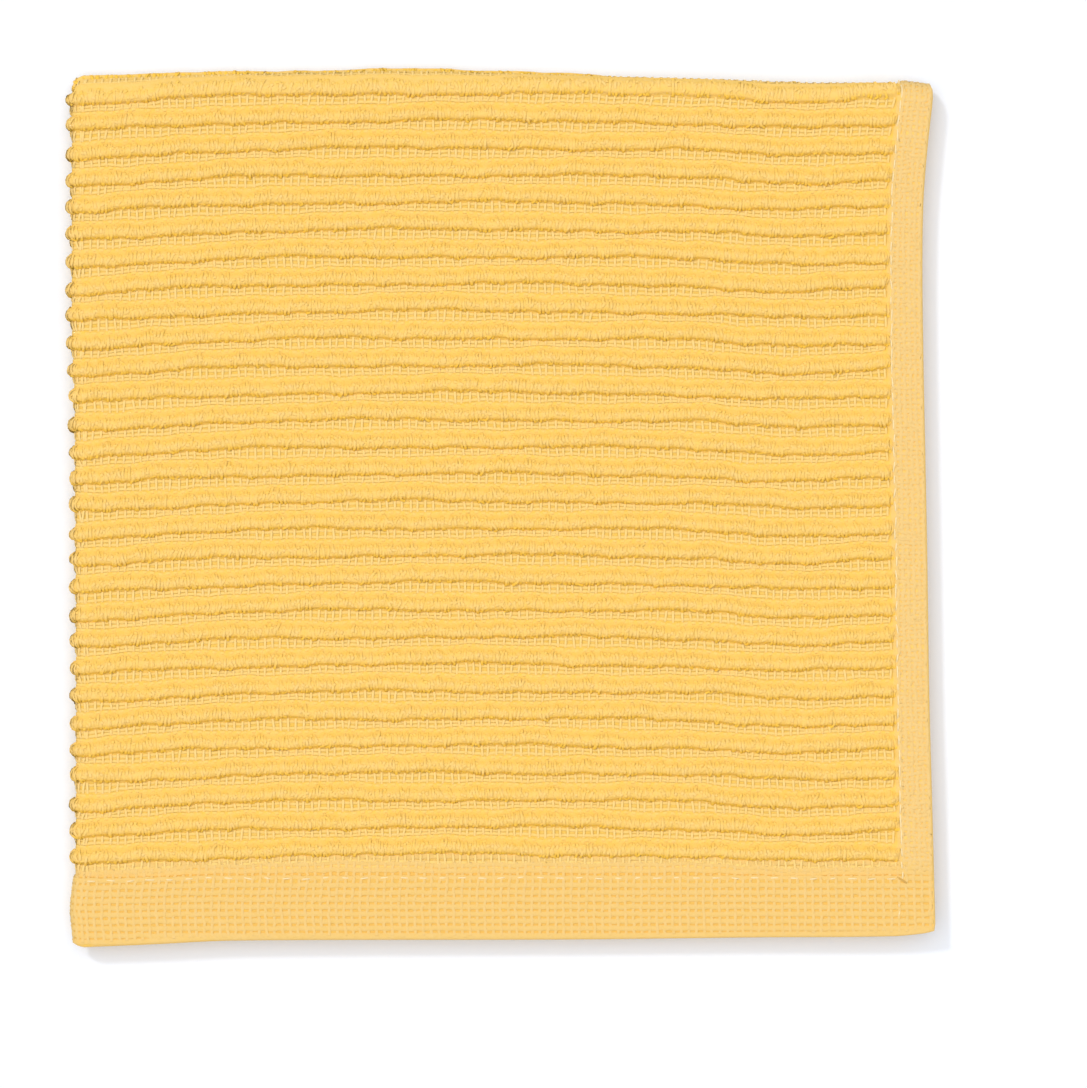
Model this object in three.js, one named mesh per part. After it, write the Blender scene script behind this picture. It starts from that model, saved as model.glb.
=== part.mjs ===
// A ribbed terry dishcloth of yellow cotton, folded in quarters and lying flat.
//
// Millimetres, +Z up. The origin is under the middle of the folded cloth, on the surface it lies on.
// The cloth is one sheet with turned hems. It is folded once along its left side and then once along
// its top side, so four layers lie on each other: A on top, then B, C and D. A and D are one long
// leaf with the face out, B and C the other leaf with the face in, and both leaves join at the left.
//
// A place on the sheet is (column, row). Columns run from the free edge of A and D, over the left
// fold, to the free edge of B and C. Rows run from the hem of A and B, over the top fold, to the hem
// of C and D.
import * as THREE from 'three';
import { mergeVertices } from 'three/addons/utils/BufferGeometryUtils.js';

// Cloth
const groundThickness = 1.35;   // woven ground between the ribs
const hemThickness = 1.7;       // ground turned over on itself and sewn down
const layerGap = 0.35;          // air between two layers
const endHemWidth = 11.2;       // hems along the ribs, at the front edge
const sideHemWidth = 6.0;       // hems across the ribs, at the right edge
const stitchGroove = 1.0;       // from the hem's full thickness down to the ground
const edgeRound = 0.35;         // how far a free edge's corner is rounded off

// Ribs of pile across the cloth
const ribPitch = 5.128;
const ribHeight = 1.3;
const pressedHeight = 0.8;      // ribs underneath, pressed flat by the weight of the cloth
const firstRibLine = 78.2;      // lower side of the first rib on layer A, at the middle of the cloth
const ribsOnTop = 29;
const ribsBelow = 30;           // over the top fold and on layer D
const ribEndGap = 0.5;          // from the ribs to the stitches of the hems
const pileAtFold = 0.8;         // how far the ribs on the top fold stand out beyond its ground
const dipFade = 5.0;            // next to the end hems, where the ribs' dip dies out

// Folded size
const foldLine = -79.0;         // axis of the left fold
const freeSide = 80.6;          // free edge at the right
const frontEdge = -81.6;        // hem edge of layer A, at the middle of the cloth
const cornerTuck = 0.7;         // how far the left fold draws in at the top fold
const unevenness = 0.035;       // share of its height by which the stack swells and sinks

// How far each free edge lies inside the outline of layer A
const edgeInset = {
  side: { A: 0.0, B: 1.0, C: 0.5, D: 1.5 },
  front: { A: 0.0, B: 0.8, C: 1.6, D: 1.2 },
};

// Outline seen from above, each side as its place along the side and how far out it lies there
const topOutline = [
  { at: -81, out: 81.6 }, { at: -76, out: 81.7 }, { at: -55, out: 82.4 }, { at: -19, out: 83.1 },
  { at: 0, out: 82.7 }, { at: 19, out: 82.2 }, { at: 38, out: 81.7 }, { at: 57, out: 81.0 },
  { at: 74, out: 80.9 }, { at: 81, out: 80.3 },
];
const frontOutline = [
  { at: -80, out: -83.1 }, { at: -66, out: -82.5 }, { at: -51, out: -81.8 }, { at: 13, out: -81.6 },
  { at: 47, out: -81.2 }, { at: 72, out: -81.0 }, { at: 78, out: -80.5 }, { at: 81.5, out: -79.8 },
];
const leftOutline = [
  { at: -83, out: -80.1 }, { at: -79, out: -80.5 }, { at: -75, out: -80.7 }, { at: -68, out: -80.0 },
  { at: 20, out: -80.2 }, { at: 32, out: -80.7 }, { at: 78, out: -80.7 },
];
const rightOutline = [
  { at: -78, out: 82.2 }, { at: -55, out: 81.6 }, { at: -36, out: 81.1 }, { at: -8, out: 80.7 },
  { at: 33, out: 79.9 }, { at: 49, out: 79.8 }, { at: 60, out: 80.1 }, { at: 74, out: 81.2 },
  { at: 79, out: 81.9 },
];

// How far a rib dips towards the front edge, at its place across the cloth
const ribDip = [
  { at: -79, out: 2.0 }, { at: -57, out: 0.75 }, { at: -38, out: 0.2 }, { at: 0, out: 0.0 },
  { at: 38, out: 0.5 }, { at: 47, out: 1.1 }, { at: 57, out: 1.4 }, { at: 66, out: 1.1 },
  { at: 74, out: 0.9 },
];

// One rib, from the crevice at its steep side over its crest to the ground behind it. The ribs
// underneath are pressed flat, so they do without the row behind the crest.
const ribShape = [
  { share: 0.0, relief: 0.0 },
  { share: 0.1, relief: 0.95 },
  { share: 0.32, relief: 1.0 },
  { share: 0.58, relief: 0.1, topOnly: true },
];

// Places of the columns across a leaf, as shares of its width, and around the left fold, in degrees
const hemShare = sideHemWidth / (freeSide - foldLine);
const grooveShare = stitchGroove / (freeSide - foldLine);
const roundShare = edgeRound / (freeSide - foldLine);
const ribEndShare = 1 - hemShare - grooveShare - ribEndGap / (freeSide - foldLine);
const hemColumns = [1 - roundShare, 1 - hemShare, 1 - hemShare - grooveShare];
const fineColumns = [ribEndShare, 0.9, 0.84, 0.77, 0.68, 0.5, 0.32, 0.16, 0.05, 0];
const coarseColumns = [0.77, 0.5, 0.2, 0];
const bendAngles = [40, 75, 105, 140, 180];

const lerp = THREE.MathUtils.lerp;
const clamp = THREE.MathUtils.clamp;
const smooth = THREE.MathUtils.smoothstep;

// A smooth curve through the rows of a table of places
function along(table, at) {
  const last = table.length - 1;
  if (at <= table[0].at) return table[0].out;
  if (at >= table[last].at) return table[last].out;
  const slope = (i) => {
    const before = table[Math.max(i - 1, 0)];
    const after = table[Math.min(i + 1, last)];
    return (after.out - before.out) / (after.at - before.at);
  };
  const i = table.findIndex((row) => row.at > at) - 1;
  const step = table[i + 1].at - table[i].at;
  const t = (at - table[i].at) / step;
  const bulge = t * (1 - t) * step;
  const value = lerp(table[i].out, table[i + 1].out, t * t * (3 - 2 * t));
  return value + bulge * ((1 - t) * slope(i) - t * slope(i + 1));
}

// Half thickness, fold radii and height of the fold axis, from plain ground (0) to hem (1)
function stackAt(hem) {
  const half = lerp(groundThickness, hemThickness, hem) / 2;
  const bend = half + layerGap / 2;
  const leaves = 2 * bend;
  return { half, bend, leaves, axis: leaves + bend + half + lerp(pressedHeight, 0, hem) };
}
const ground = stackAt(0);
const outerRadius = ground.leaves + ground.bend;
const foldReach = outerRadius + ground.half + pileAtFold;
const foldLength = Math.PI * outerRadius;
const foldStartAt = (x) => along(topOutline, x) - foldReach;
const foldStart = foldStartAt(0);

// Where the hems begin and end along the rows
const underLength = foldStart - frontEdge - edgeInset.front.D;
const lastRow = foldStart + foldLength + underLength;
const nearHem = frontEdge + endHemWidth;
const farHem = lastRow - endHemWidth;

// Slight crookedness of each rib and slow swelling of the whole stack
const ribWander = (rib, x) => 0.22 * Math.sin(1.9 * rib + x / 11) + 0.14 * Math.sin(3.7 * rib + x / 5);
const swelling = (x, y) => Math.sin(x / 27 + 0.8) * Math.cos(y / 33 - 0.4) - 0.4 * Math.sin(y / 19 + x / 41);

// How much a place is part of a hem, 0 to 1
function hemAt(share, row) {
  const side = smooth(share, 1 - hemShare - grooveShare, 1 - hemShare);
  const near = 1 - smooth(row, nearHem, nearHem + stitchGroove);
  const far = smooth(row, farHem - stitchGroove, farHem);
  return Math.max(side, near, far);
}

// The place of a point of the sheet: its column, its row, and which side of the sheet it is on,
// 1 for the face, 0 for the middle and -1 for the back
function place(column, row, side) {
  const x = lerp(foldLine, freeSide, column.share);
  const hem = hemAt(column.share, row.at);
  const stack = stackAt(hem);
  const start = foldStartAt(x);

  // Along the leaf: on A and B, around the top fold, or on C and D
  const fromHems = Math.min(row.at - nearHem, farHem - row.at);
  const dip = along(ribDip, x) * smooth(fromHems, 0, dipFade);
  const front = along(frontOutline, x);
  const intoHem = clamp((nearHem - row.at) / endHemWidth, 0, 1);
  const wander = row.rib === undefined ? 0 : ribWander(row.rib, x);
  const run = row.at + lerp(-dip, front - frontEdge, intoHem) + wander;
  const angle = clamp((run - start) / outerRadius, 0, Math.PI);
  const beyond = run - start - foldLength;
  const [over, under] = column.outer ? ['A', 'D'] : ['B', 'C'];
  const frontInset = edgeInset.front;
  const toFront = clamp((foldStart - row.at) / (foldStart - frontEdge), 0, 1);
  const underScale = (start - front - frontInset[under]) / (lastRow - start - foldLength);
  let base = Math.min(run, start) + frontInset[over] * toFront ** 4;
  if (beyond > 0) base = start - beyond * underScale;

  // Around the left fold, standing off the axis between the two leaves
  const turn = THREE.MathUtils.degToRad(column.turn);
  const pile = column.share > ribEndShare ? 0 : ribHeight * (row.relief ?? 0);
  const spread = column.turn > 90 ? Math.cos(turn - Math.PI / 2) ** 2 : 1;
  const radius = stack.bend + side * stack.half + (side > 0 ? pile * spread : 0);
  const off = stack.leaves + radius * Math.cos(turn);

  // Across the leaf, between the outlines at the side
  const y = base + off * Math.sin(angle);
  const left = along(leftOutline, y) + ground.bend + ground.half + cornerTuck * Math.sin(angle);
  const sideInset = lerp(edgeInset.side[over], edgeInset.side[under], angle / Math.PI);
  const right = along(rightOutline, y) - sideInset;
  const across = lerp(left, right, column.share) - radius * Math.sin(turn);

  const height = Math.max(stack.axis + off * Math.cos(angle), 0);
  const swell = 1 + unevenness * swelling(across, y);
  return new THREE.Vector3(across, y, height * swell);
}

// Columns of one side of the sheet
function columnsOf(front, back) {
  const leaf = (share, outer) => ({ share, turn: outer ? 0 : 180, outer });
  return [
    ...front.map((share) => leaf(share, true)),
    ...bendAngles.map((turn) => ({ share: 0, turn, outer: turn < 180 })),
    ...back.slice().reverse().filter((share) => share > 0).map((share) => leaf(share, false)),
  ];
}

// Rows where the ribs are followed
function ribRows() {
  const rows = [];
  const nearEnd = nearHem + stitchGroove + ribEndGap;
  const farEnd = farHem - stitchGroove - ribEndGap;
  for (let rib = -ribsBelow; rib < ribsOnTop; rib += 1) {
    const line = firstRibLine - rib * ribPitch;
    for (const { share, relief, topOnly } of ribShape) {
      const at = line + share * ribPitch;
      const isSeen = !topOnly || at < foldStart + foldLength;
      if (isSeen && at > nearEnd && at < farEnd) rows.push({ at, relief, rib });
    }
  }
  return rows.sort((a, b) => a.at - b.at);
}

// Rows where the cloth is plain, close together around the top fold
function plainRows() {
  const step = foldLength / 6;
  const spacing = (foldStart - nearHem) / 10;
  const rows = [];
  for (let at = nearHem + stitchGroove + spacing; at < foldStart - 2 * step; at += spacing) rows.push({ at });
  for (let i = -1; i <= 7; i += 1) rows.push({ at: foldStart + i * step });
  for (let at = foldStart + 9 * step; at < farHem - spacing / 2; at += spacing) rows.push({ at });
  return rows;
}

const hemRowsNear = [{ at: frontEdge + edgeRound }, { at: nearHem }, { at: nearHem + stitchGroove }];
const hemRowsFar = [{ at: farHem - stitchGroove }, { at: farHem }, { at: lastRow - edgeRound }];
const fineRows = [...hemRowsNear, ...ribRows(), ...hemRowsFar];
const coarseRows = [...hemRowsNear, ...plainRows(), ...hemRowsFar];

// Triangles between two lines of points that run side by side, each point with its place t on the line
const corners = [];
function strip(a, b) {
  let i = 0;
  let j = 0;
  while (i < a.length - 1 || j < b.length - 1) {
    const stepA = j === b.length - 1 || (i < a.length - 1 && a[i + 1].t <= b[j + 1].t);
    if (stepA) corners.push(a[i].point, a[i + 1].point, b[j].point);
    else corners.push(a[i].point, b[j + 1].point, b[j].point);
    if (stepA) i += 1;
    else j += 1;
  }
}
const lineAlong = (column, rows, side) => rows.map((row) => ({ t: row.at, point: place(column, row, side) }));

// Face: fine over the outer leaf and the left fold, plain on the inner leaf, which is out of sight
const outerColumns = columnsOf([...hemColumns, ...fineColumns], []);
const innerColumns = columnsOf([], [...hemColumns, ...coarseColumns]).filter((column) => column.turn === 180);
const faceLines = outerColumns.map((column) => lineAlong(column, fineRows, 1));
const innerLines = innerColumns.slice(1).map((column) => lineAlong(column, coarseRows, 1));
const faceSheet = [...faceLines, ...innerLines];
faceSheet.slice(1).forEach((line, i) => strip(faceSheet[i], line));

// Back: plain all over
const backColumns = columnsOf([...hemColumns, ...coarseColumns], [...hemColumns, ...coarseColumns]);
const backSheet = backColumns.map((column) => lineAlong(column, coarseRows, -1));
backSheet.slice(1).forEach((line, i) => strip(line, backSheet[i]));

// Rim: a loop of free edges, down the outer leaf, along the near hem, up the inner leaf and back
// along the far hem, first from the face to the middle of the edge and then to the back
function loopOf(columns, sideRows, endRows, side) {
  const [outer, inner] = [columns[0], columns[columns.length - 1]];
  const [near, far] = endRows;
  const share = (row) => (row.at - frontEdge) / (lastRow - frontEdge);
  const turn = (column) => 0.45 * (column.outer ? 1 - column.share : 1 + column.share) + column.turn / 1800;
  const loop = [];
  const add = (t, column, row) => loop.push({ t, point: place(column, row, side) });
  const [down, up] = sideRows;
  [...down].reverse().forEach((row) => add(1 - share(row), outer, row));
  columns.slice(1).forEach((column) => add(1 + turn(column), column, near));
  up.slice(1).forEach((row) => add(2 + share(row), inner, row));
  [...columns].reverse().slice(1).forEach((column) => add(4 - turn(column), column, far));
  return loop;
}
const ends = [coarseRows[0], coarseRows[coarseRows.length - 1]];
const edgeColumns = backColumns.map((column) => ({ ...column }));
edgeColumns[0].share = 1;
edgeColumns[edgeColumns.length - 1].share = 1;
const edgeRows = [{ at: frontEdge }, ...coarseRows.slice(1, -1), { at: lastRow }];
const edgeEnds = [edgeRows[0], edgeRows[edgeRows.length - 1]];
const faceColumns = [...outerColumns, ...innerColumns.slice(1)];
const faceLoop = loopOf(faceColumns, [fineRows, coarseRows], ends, 1);
const edgeLoop = loopOf(edgeColumns, [edgeRows, edgeRows], edgeEnds, 0);
const backLoop = loopOf(backColumns, [coarseRows, coarseRows], ends, -1);
strip(faceLoop, edgeLoop);
strip(edgeLoop, backLoop);

const yellowCotton = new THREE.MeshStandardMaterial({ color: 0xf8cb6d, roughness: 0.95, metalness: 0 });
const shape = mergeVertices(new THREE.BufferGeometry().setFromPoints(corners), 1e-4);
shape.computeVertexNormals();
const cloth = new THREE.Mesh(shape, yellowCotton);
cloth.name = 'cloth';

const dishcloth = new THREE.Group();
dishcloth.add(cloth);
export default dishcloth;
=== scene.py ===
"""A ribbed terry dishcloth of yellow cotton, folded in quarters and lying flat.

The cloth is built in its own flat coordinates, in millimetres, and one function lays it in its
folds. "across" is the distance from the left fold: over the outer leaf it grows from 0 to the free
edge, around the fold and over the inner leaf it runs below 0. "along" is the distance up the cloth
from the middle of layer A: it runs up A, over the top fold, and back down layer D. "lift" is the
height above the sheet's own surface.
"""
import math
from collections import namedtuple

import bpy
import numpy as np
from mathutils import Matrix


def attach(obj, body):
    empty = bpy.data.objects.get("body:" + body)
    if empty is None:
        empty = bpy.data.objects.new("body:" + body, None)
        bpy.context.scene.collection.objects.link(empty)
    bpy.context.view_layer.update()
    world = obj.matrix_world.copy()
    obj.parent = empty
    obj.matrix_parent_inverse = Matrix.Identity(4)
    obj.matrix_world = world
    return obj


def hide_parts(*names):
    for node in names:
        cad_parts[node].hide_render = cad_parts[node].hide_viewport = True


MM = 0.001
SEED = 11
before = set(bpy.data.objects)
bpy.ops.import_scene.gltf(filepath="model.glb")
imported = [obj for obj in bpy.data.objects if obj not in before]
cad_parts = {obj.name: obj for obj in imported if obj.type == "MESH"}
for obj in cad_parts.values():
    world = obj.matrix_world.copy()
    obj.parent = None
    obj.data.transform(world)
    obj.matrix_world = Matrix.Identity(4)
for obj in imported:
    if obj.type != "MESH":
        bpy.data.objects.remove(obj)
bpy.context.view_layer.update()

# Cloth, in millimetres
GROUND_THICKNESS = 1.35
HEM_THICKNESS = 1.7
LAYER_GAP = 0.35
END_HEM_WIDTH = 11.2
SIDE_HEM_WIDTH = 6.0
STITCH_GROOVE = 1.0

# Ribs of pile
RIB_PITCH = 5.128
RIB_HEIGHT = 1.3
PRESSED_HEIGHT = 0.8
FIRST_RIB_LINE = 78.2
RIBS_ON_TOP = 29
RIBS_BELOW = 30
# Gap between a rib's end and the stitch groove
RIB_END_GAP = 0.5
# Height of the pile on the top fold, as the outline counts it
PILE_AT_FOLD = 0.8
# Way from a hem over which the ribs' dip begins
DIP_FADE = 5.0

# Pitch of the threads along the cloth, of those across it, and of the hems' broad threads
WARP_PITCH = 1.46
WEFT_PITCH = 1.27
HEM_ROW_PITCH = 1.3

# Folded size
FOLD_LINE = -79.0
FREE_SIDE = 80.6
FRONT_EDGE = -81.6
CORNER_RADIUS = 0.6
# How far the left fold is drawn in where the top fold turns it over
CORNER_TUCK = 0.7
# Share of its reach around the top fold that a hem falls short by
HEM_TUCK = 0.06
# The setting back of an upper leaf's front edge fades with this power of the way to the edge
INSET_POWER = 4
# The front outline moves a hem by a share that grows over its width, up to this much
HEM_OVERRUN = 1.1
# How far the free edges of each leaf are set back. From the top, the leaves are A, B, C and D
SIDE_INSET = {"A": 0.0, "B": 1.0, "C": 0.5, "D": 1.5}
FRONT_INSET = {"A": 0.0, "B": 0.8, "C": 1.6, "D": 1.2}

# Waves that make the ribs crooked: height, phase from one rib to the next, and length over 2 pi
RIB_WAVES = [(0.22, 1.9, 11), (0.14, 3.7, 5), (0.13, 2.3, 2.1), (0.09, 5.1, 1.15)]
# Share of the pitch above which the crookedness turns into the next rib's
NEXT_RIB_SHARE = 0.6
# Distances from a hem between which the crookedness begins
WANDER_FADE = (1, 3)

# How unevenly thick the cloth lies, in shares of its height
UNEVENNESS = 0.035
# Its broad swells, as lengths over 2 pi and phases across and along the cloth
SWELL_LENGTHS = (27, 33)
SWELL_PHASES = (0.8, -0.4)
# Slanting swells: height beside the broad ones, and lengths over 2 pi across and along
SLANT_SWELL = 0.4
SLANT_LENGTHS = (41, 19)

# Outline seen from above: place along the side, and how far out the side lies there
TOP_OUTLINE = [(-81, 81.6), (-76, 81.7), (-55, 82.4), (-19, 83.1), (0, 82.7), (19, 82.2), (38, 81.7),
               (57, 81.0), (74, 80.9), (81, 80.3)]
FRONT_OUTLINE = [(-80, -83.1), (-66, -82.5), (-51, -81.8), (13, -81.6), (47, -81.2), (72, -81.0),
                 (78, -80.5), (81.5, -79.8)]
LEFT_OUTLINE = [(-83, -80.1), (-79, -80.5), (-75, -80.7), (-68, -80.0), (20, -80.2), (32, -80.7),
                (78, -80.7)]
RIGHT_OUTLINE = [(-78, 82.2), (-55, 81.6), (-36, 81.1), (-8, 80.7), (33, 79.9), (49, 79.8), (60, 80.1),
                 (74, 81.4), (79, 82.25)]
# How far a rib dips towards the front edge, by its place across the cloth
RIB_DIP = [(-79, 2.0), (-57, 0.75), (-38, 0.2), (0, 0.0), (38, 0.5), (47, 1.1), (57, 1.4), (66, 1.1),
           (74, 0.9)]

LEAF_WIDTH = FREE_SIDE - FOLD_LINE
BEND_HALF = (GROUND_THICKNESS + LAYER_GAP) / 2
BEND_LENGTH = math.pi * BEND_HALF
OUTER_RADIUS = 3 * BEND_HALF
FOLD_REACH = OUTER_RADIUS + GROUND_THICKNESS / 2 + PILE_AT_FOLD
FOLD_LENGTH = math.pi * OUTER_RADIUS


def curve(table, at):
    """A smooth curve through a table of places, held level beyond its ends."""
    places, values = np.array(table, float).T
    slopes = np.empty_like(values)
    slopes[1:-1] = (values[2:] - values[:-2]) / (places[2:] - places[:-2])
    slopes[0] = (values[1] - values[0]) / (places[1] - places[0])
    slopes[-1] = (values[-1] - values[-2]) / (places[-1] - places[-2])
    at = np.clip(at, places[0], places[-1])
    i = np.clip(np.searchsorted(places, at, side="right") - 1, 0, len(places) - 2)
    step = places[i + 1] - places[i]
    t = (at - places[i]) / step
    bulge = t * (1 - t) * step
    ease = t * t * (3 - 2 * t)
    value = values[i] + (values[i + 1] - values[i]) * ease
    return value + bulge * ((1 - t) * slopes[i] - t * slopes[i + 1])


def smooth(x, low, high):
    """0 below low and 1 above high, with a soft turn at both."""
    t = np.clip((x - low) / (high - low), 0, 1)
    return t * t * (3 - 2 * t)


def fold_start_at(x):
    """Where the top fold begins, at a place across the lying cloth."""
    return curve(TOP_OUTLINE, x) - FOLD_REACH


FOLD_START = float(fold_start_at(0.0))
LAST_ROW = FOLD_START + FOLD_LENGTH + FOLD_START - FRONT_EDGE - FRONT_INSET["D"]
NEAR_HEM = FRONT_EDGE + END_HEM_WIDTH
FAR_HEM = LAST_ROW - END_HEM_WIDTH
RIB_END = LEAF_WIDTH - SIDE_HEM_WIDTH - STITCH_GROOVE - RIB_END_GAP
SIDE_WEAVE_END = FOLD_START + 0.9 * FOLD_LENGTH
# The pile swells a little past the end of the solid's ribs, over the groove. It is rounded off
# between two distances before its end, the first of them a little past it
PILE_END = RIB_END + 0.9
PILE_END_FADE = (-0.35, 0.9)
# Share of the way around the top fold from which the pile is pressed flatter
PRESSED_FROM = 0.65
# Yarns take this share of their spacing around the left fold, where their height spreads them
BEND_SQUEEZE = 0.4
TINY = 1e-12


def rib_wander(rib, x):
    """How crooked a rib is, in millimetres along the cloth."""
    return sum(height * np.sin(phase * rib + x / length) for height, phase, length in RIB_WAVES)


def rib_place(along):
    """The rib that a place belongs to, and its share of the pitch above that rib's lower side."""
    count = (FIRST_RIB_LINE - along) / RIB_PITCH
    rib = np.ceil(count)
    return rib, rib - count


def wander(along, x):
    """The ribs' crookedness at any place, turning into the next rib's over the ground between."""
    rib, share = rib_place(along)
    own = rib_wander(rib, x)
    blend = smooth(share, NEXT_RIB_SHARE, 1.0)
    begin, full = WANDER_FADE
    near = smooth(along, NEAR_HEM + begin, NEAR_HEM + full)
    far = smooth(along, FAR_HEM - full, FAR_HEM - begin)
    return (own + (rib_wander(rib - 1, x) - own) * blend) * (near * (1 - far))


def hem_at(share, along):
    """How much a place is part of a hem, 0 to 1."""
    hem_line = LEAF_WIDTH - SIDE_HEM_WIDTH
    side = smooth(share * LEAF_WIDTH, hem_line - STITCH_GROOVE, hem_line)
    near = 1 - smooth(along, NEAR_HEM, NEAR_HEM + STITCH_GROOVE)
    far = smooth(along, FAR_HEM - STITCH_GROOVE, FAR_HEM)
    return np.maximum(side, np.maximum(near, far))


def swelling(x, y):
    """Broad hollows and swells of the lying cloth, from -1.4 to 1.4."""
    broad = np.sin(x / SWELL_LENGTHS[0] + SWELL_PHASES[0]) * np.cos(y / SWELL_LENGTHS[1] + SWELL_PHASES[1])
    return broad - SLANT_SWELL * np.sin(y / SLANT_LENGTHS[1] + x / SLANT_LENGTHS[0])


def round_corners(across, along):
    """Moves places near the free corners of the flat cloth inwards, which rounds the corners."""
    leaf = np.where(across > 0, across, -across - BEND_LENGTH)
    u = np.clip((leaf - LEAF_WIDTH) / CORNER_RADIUS + 1, 0, 1)
    near = np.clip((FRONT_EDGE - along) / CORNER_RADIUS + 1, 0, 1)
    far = np.clip((along - LAST_ROW) / CORNER_RADIUS + 1, 0, 1)
    v = np.maximum(near, far)
    reach = np.maximum(np.hypot(u, v), TINY)
    shrink = CORNER_RADIUS * (1 - np.maximum(u, v) / reach)
    corner = (u > 0) & (v > 0)
    leaf_shift = np.where(corner, -u * shrink, 0) * np.where(across > 0, 1, -1)
    along_shift = np.where(corner, v * shrink, 0) * np.where(near > 0, 1, -1)
    return across + leaf_shift, along + along_shift


def lay(across, along, side=1.0, lift=0.0):
    """Lays points of the flat cloth in its folds. side is 1 on the face and -1 on the back."""
    across, along, side, lift = np.broadcast_arrays(
        *(np.asarray(v, float) for v in (across, along, side, lift)))
    across, along = round_corners(across, along)
    turn = np.clip(-across / BEND_HALF, 0, math.pi)
    inner = turn / math.pi
    share = np.where(across > 0, across, np.maximum(-across - BEND_LENGTH, 0)) / LEAF_WIDTH
    x = FOLD_LINE + share * LEAF_WIDTH
    hem = hem_at(share, along)
    half = (GROUND_THICKNESS + (HEM_THICKNESS - GROUND_THICKNESS) * hem) / 2
    bend = half + LAYER_GAP / 2
    axis = 3 * bend + half + PRESSED_HEIGHT * (1 - hem)
    start = fold_start_at(x)

    from_hems = np.minimum(along - NEAR_HEM, FAR_HEM - along)
    dip = curve(RIB_DIP, x) * smooth(from_hems, 0, DIP_FADE)
    front = curve(FRONT_OUTLINE, x)
    into_hem = np.clip((NEAR_HEM - along) / END_HEM_WIDTH, 0, HEM_OVERRUN)
    run = along - dip + (front - FRONT_EDGE) * into_hem + wander(along, x)
    angle = np.clip((run - start) / OUTER_RADIUS, 0, math.pi)
    beyond = run - start - FOLD_LENGTH
    over_inset = FRONT_INSET["A"] + (FRONT_INSET["B"] - FRONT_INSET["A"]) * inner
    under_inset = FRONT_INSET["D"] + (FRONT_INSET["C"] - FRONT_INSET["D"]) * inner
    to_front = np.clip((FOLD_START - along) / (FOLD_START - FRONT_EDGE), 0, 1)
    under_scale = (start - front - under_inset) / (LAST_ROW - start - FOLD_LENGTH)
    y = np.minimum(run, start) + over_inset * to_front ** INSET_POWER
    y = np.where(beyond > 0, start - beyond * under_scale, y)

    radius = bend + side * half + lift
    off = 2 * bend + radius * np.cos(turn)
    world_y = y + off * np.sin(angle) * (1 - HEM_TUCK * hem)
    left = curve(LEFT_OUTLINE, world_y) + BEND_HALF + GROUND_THICKNESS / 2 + CORNER_TUCK * np.sin(angle)
    over_side = SIDE_INSET["A"] + (SIDE_INSET["B"] - SIDE_INSET["A"]) * inner
    under_side = SIDE_INSET["D"] + (SIDE_INSET["C"] - SIDE_INSET["D"]) * inner
    right = curve(RIGHT_OUTLINE, world_y) - (over_side + (under_side - over_side) * angle / math.pi)
    world_x = left + (right - left) * share - radius * np.sin(turn)
    height = np.maximum(axis + off * np.cos(angle), 0)
    swell = 1 + UNEVENNESS * swelling(world_x, y)
    return np.stack([world_x, world_y, height * swell], axis=-1)


def pile_room(across, along):
    """The share of its full height that the pile has.

    It is pressed underneath, rounded off at the ends of the ribs, and none where the leaves meet.
    """
    turn = np.clip(-across / BEND_HALF, 0, math.pi)
    around = np.where(turn > math.pi / 2, np.sin(turn) ** 2, 1.0)
    x = FOLD_LINE + np.clip(across, 0, LEAF_WIDTH)
    under = smooth(along - fold_start_at(x), PRESSED_FROM * FOLD_LENGTH, FOLD_LENGTH)
    ends = smooth(PILE_END - across, *PILE_END_FADE)
    return around * ends * (1 - under * (1 - PRESSED_HEIGHT / RIB_HEIGHT))


def squeeze_at(across):
    """The share of their flat spacing that yarns keep at a place across the cloth."""
    return np.where(across > 0, 1.0, BEND_SQUEEZE)


# Mesh building


def mesh_object(name, points, triangles, material, depth=0.0, normals=None):
    """A smooth-shaded mesh object from points in millimetres and rows of three corners.

    Each point's shade value is 0 where yarn lies open to the light and 1 deep in the cloth, and sets
    painted shade there: the deeper it lies, the fuller and then darker its colour.
    """
    mesh = bpy.data.meshes.new(name)
    mesh.vertices.add(len(points))
    mesh.vertices.foreach_set("co", (points * MM).astype(np.float32).ravel())
    mesh.loops.add(triangles.size)
    mesh.loops.foreach_set("vertex_index", triangles.astype(np.int32).ravel())
    mesh.polygons.add(len(triangles))
    mesh.polygons.foreach_set("loop_start", np.arange(0, triangles.size, 3, dtype=np.int32))
    mesh.update(calc_edges=True)
    mesh.polygons.foreach_set("use_smooth", np.ones(len(triangles), bool))
    shade = mesh.attributes.new("depth", "FLOAT", "POINT")
    shade.data.foreach_set("value", np.broadcast_to(depth, len(points)).astype(np.float32))
    if normals is not None:
        mesh.normals_split_custom_set_from_vertices(normals)
    mesh.materials.append(material)
    obj = bpy.data.objects.new(name, mesh)
    bpy.context.scene.collection.objects.link(obj)
    return obj


# How far the shading of a thread is turned towards its upper side, as soft fibres scatter light
SOFTNESS = 1.2
# Height above a thread at which the way out of the cloth is measured
OUTWARD_STEP = 0.3
# A thread steeper than this, as a cosine, keeps the upper side that it had a step before
STEEP = 0.8


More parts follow.
